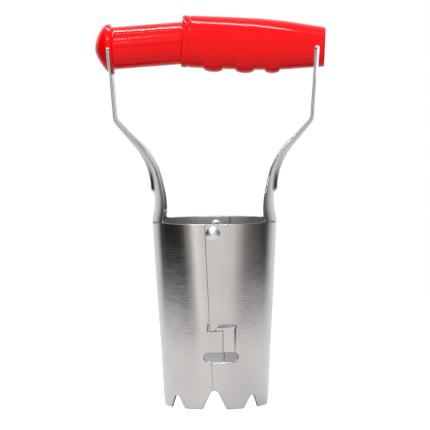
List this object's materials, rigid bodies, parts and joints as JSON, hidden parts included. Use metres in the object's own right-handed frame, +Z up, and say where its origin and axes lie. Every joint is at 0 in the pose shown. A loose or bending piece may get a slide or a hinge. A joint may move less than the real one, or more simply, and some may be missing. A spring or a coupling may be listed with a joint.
{
  "type": "bulb planter",
  "caption": "Hand bulb planter: two hinged steel half shells with toothed mouth, joined arms and a squeeze-to-release telescoping plastic handle.",
  "frame": {"origin": "centre of the barrel's mouth, on the plane of the tooth tips", "axes": "+Z up the barrel to the handle, +X along the handle towards the closed end of the sleeve, +Y to the back, so the rivet with the domed head that faces the user lies at -Y"},
  "size_m": [0.1311, 0.0638, 0.2218],
  "materials": {
    "plated_sheet": "bright nickel plate over brushed sheet steel",
    "rivet_steel": "bright zinc plate",
    "red_plastic": "glossy moulded",
    "spring_steel": "drawn wire"
  },
  "bodies": {
    "right_half": {"right_half_shell": "plated_sheet", "front_rivet": "rivet_steel", "rear_rivet": "rivet_steel", "handle_sleeve": "red_plastic", "return_spring": "spring_steel"},
    "left_half": {"left_half_shell": "plated_sheet", "handle_plunger": "red_plastic"}
  },
  "joints": [
    {"name": "squeeze", "type": "hinge", "parent": "right_half", "child": "left_half", "pos_m": [0, 0, 0.0995], "axis": [0, 1, 0], "range_deg": [0, 8], "stiffness_Nm_per_rad": 10, "springref_deg": -11.46, "deforming": ["return_spring"]}
  ]
}
